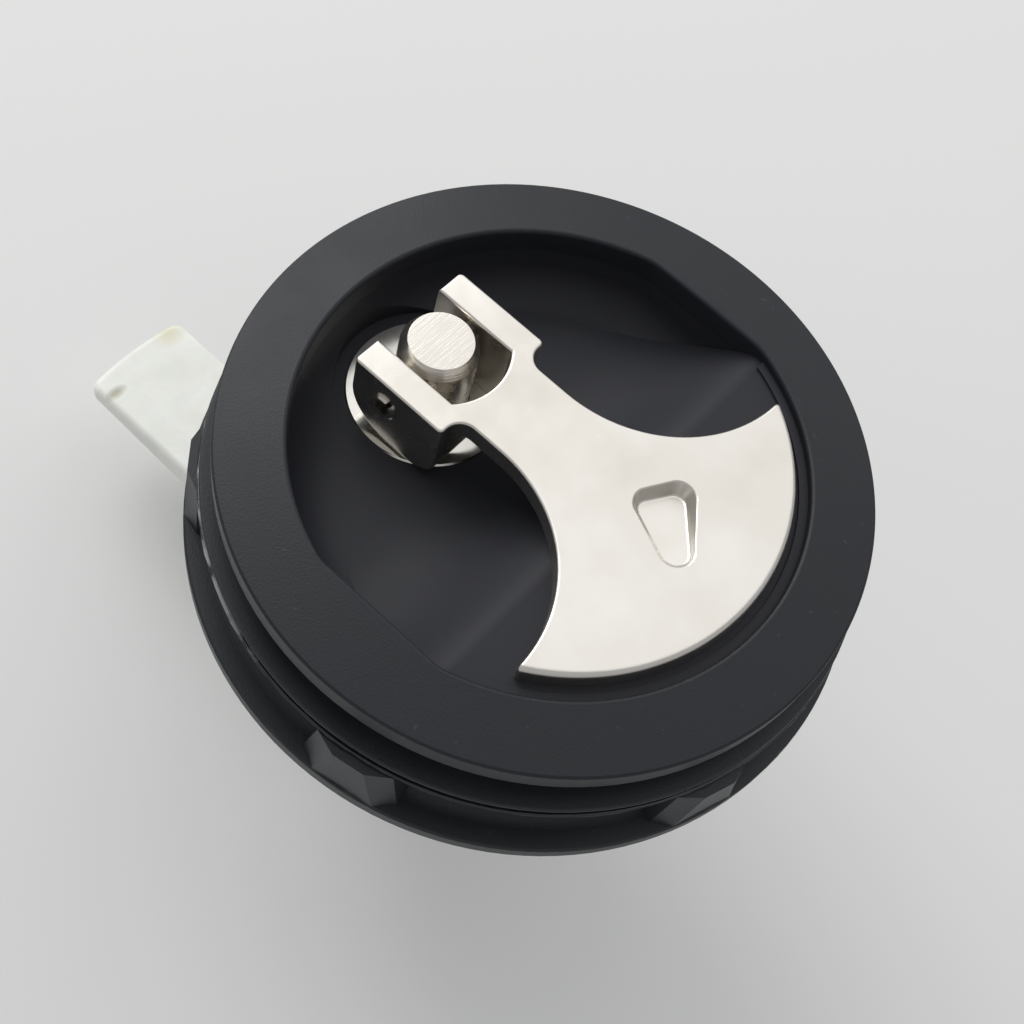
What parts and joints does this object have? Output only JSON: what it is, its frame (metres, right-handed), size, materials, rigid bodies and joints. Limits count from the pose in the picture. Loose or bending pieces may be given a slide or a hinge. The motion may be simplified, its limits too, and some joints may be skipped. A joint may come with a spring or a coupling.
{
  "type": "hatch floor latch",
  "caption": "Flush round hatch latch: a crescent handle in a recessed black body lifts, turns the long spindle and swings a tongue under the frame.",
  "frame": {"origin": "centre of the round gasket's underside, the plane that lies on the hatch", "axes": "+X along the handle from the spindle to the blade, +Z out of the hatch face"},
  "size_m": [0.1278, 0.092, 0.0925],
  "materials": {
    "bezel_nylon": "fine-grained moulded black nylon, smoother in the recess",
    "nut_nylon": "satin moulded black nylon with a flash line",
    "gasket_rubber": "matt die-cut rubber sheet",
    "cast_stainless": "cast, tumbled and satin polished",
    "polished_stainless": "pressed and polished",
    "turned_stainless": "turned, the top brushed in straight lines",
    "pin_stainless": "rolled from spring strip, satin",
    "washer_stainless": "pressed and barrelled",
    "nut_stainless": "cold formed",
    "spring_steel": "drawn spring wire",
    "seal_rubber": "moulded seal rubber",
    "bush_acetal": "machined black acetal",
    "white_acetal": "moulded off-white acetal, satin"
  },
  "bodies": {
    "body": {"body": "bezel_nylon", "flange_gasket": "gasket_rubber", "wear_washer": "polished_stainless", "bush": "bush_acetal", "upper_spring_washer": "washer_stainless", "compression_spring": "spring_steel"},
    "ring_nut": {"ring_nut": "nut_nylon"},
    "spring_seat": {"spring_seat_washer": "washer_stainless"},
    "spindle": {"spindle": "turned_stainless", "spindle_o_ring": "seal_rubber", "retaining_ring": "spring_steel", "stop_pin": "pin_stainless", "upper_tongue_nut": "nut_stainless", "upper_tongue_washer": "washer_stainless", "tongue": "white_acetal", "lower_tongue_washer": "washer_stainless", "split_washer": "spring_steel", "lower_tongue_nut": "nut_stainless"},
    "handle": {"lift_handle": "cast_stainless", "cross_pin": "pin_stainless"}
  },
  "joints": [
    {"name": "ring_nut_travel", "type": "slide", "parent": "body", "child": "ring_nut", "axis": [0, 0, 1], "range_m": [-0.012, 0.0034]},
    {"name": "spindle_drop", "type": "slide", "parent": "body", "child": "spring_seat", "axis": [0, 0, -1], "range_m": [0, 0.0019], "deforming": ["compression_spring"]},
    {"name": "spindle_turn", "type": "hinge", "parent": "spring_seat", "child": "spindle", "pos_m": [-0.02, 0, 0], "axis": [0, 0, 1], "range_deg": [0, 90]},
    {"name": "handle_lift", "type": "hinge", "parent": "spindle", "child": "handle", "pos_m": [-0.02, 0, 0.0024], "axis": [0, -1, 0], "range_deg": [0, 90]}
  ],
  "couplings": [
    {"joint": "spindle_drop", "follows": "handle_lift", "m_per_rad": 0.0012095},
    {"joint": "spindle_turn", "follows": "handle_lift", "ratio": 1}
  ]
}
